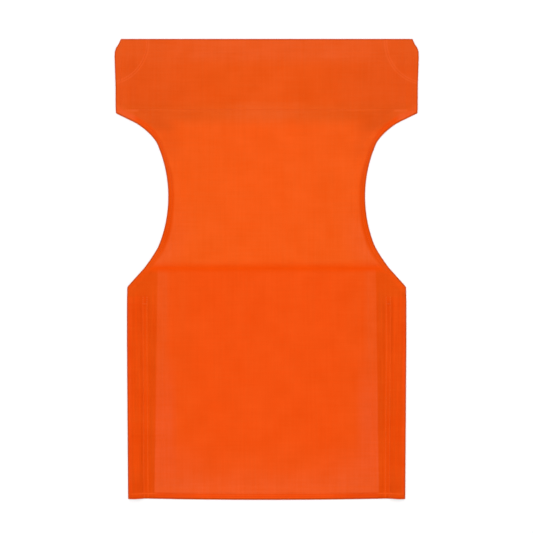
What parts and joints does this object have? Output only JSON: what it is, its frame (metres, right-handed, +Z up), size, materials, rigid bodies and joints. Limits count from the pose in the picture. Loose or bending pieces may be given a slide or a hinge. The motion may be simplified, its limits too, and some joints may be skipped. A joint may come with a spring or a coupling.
{
  "type": "director's chair cover",
  "caption": "One-piece canvas seat and back cover for a folding director's chair, with a hood for the back posts, curved arm cut-outs and side sleeves for the seat rails.",
  "frame": {"origin": "on the floor below the middle of the cover, which lies flat and face up", "axes": "+X to the right, +Y from the seat's front edge to the top of the hood, +Z up out of the face"},
  "size_m": [0.5444, 0.8252, 0.0094],
  "materials": {
    "canvas_back": "plain-weave polyester canvas, satin, one layer",
    "canvas_seat": "plain-weave polyester canvas, satin, one layer",
    "canvas_hood": "plain-weave polyester canvas, satin, under a second layer",
    "canvas_patch": "plain-weave polyester canvas, satin, third layer",
    "canvas_sleeve": "plain-weave polyester canvas, satin, turned under",
    "canvas_hem": "plain-weave polyester canvas, turned under twice",
    "thread": "polyester sewing thread, slightly glossy"
  },
  "bodies": {
    "back": {"back_panel": "canvas_back", "hood_rear_panel": "canvas_hood", "hood_mouth_hem": "canvas_hem", "left_hood_side_seam": "canvas_hem", "left_corner_patch": "canvas_patch", "left_waist_hem": "canvas_hem", "left_waist_hem_stitching": "thread", "left_corner_patch_stitching": "thread", "left_side_seam_stitching": "thread", "right_hood_side_seam": "canvas_hem", "right_corner_patch": "canvas_patch", "right_waist_hem": "canvas_hem", "right_waist_hem_stitching": "thread", "right_corner_patch_stitching": "thread", "right_side_seam_stitching": "thread", "hood_mouth_stitching": "thread"},
    "seat": {"seat_panel": "canvas_seat", "front_hem": "canvas_hem", "left_rail_sleeve": "canvas_sleeve", "left_seat_corner_hem": "canvas_hem", "left_seat_corner_stitching": "thread", "left_sleeve_outer_stitching": "thread", "left_sleeve_inner_stitching": "thread", "left_sleeve_bar_tack": "thread", "right_rail_sleeve": "canvas_sleeve", "right_seat_corner_hem": "canvas_hem", "right_seat_corner_stitching": "thread", "right_sleeve_outer_stitching": "thread", "right_sleeve_inner_stitching": "thread", "right_sleeve_bar_tack": "thread", "front_hem_stitching": "thread"}
  },
  "joints": [
    {"name": "seat_fold", "type": "hinge", "parent": "back", "child": "seat", "pos_m": [0, 0.0034, 0.0036], "axis": [-1, 0, 0], "range_deg": [0, 176]}
  ]
}
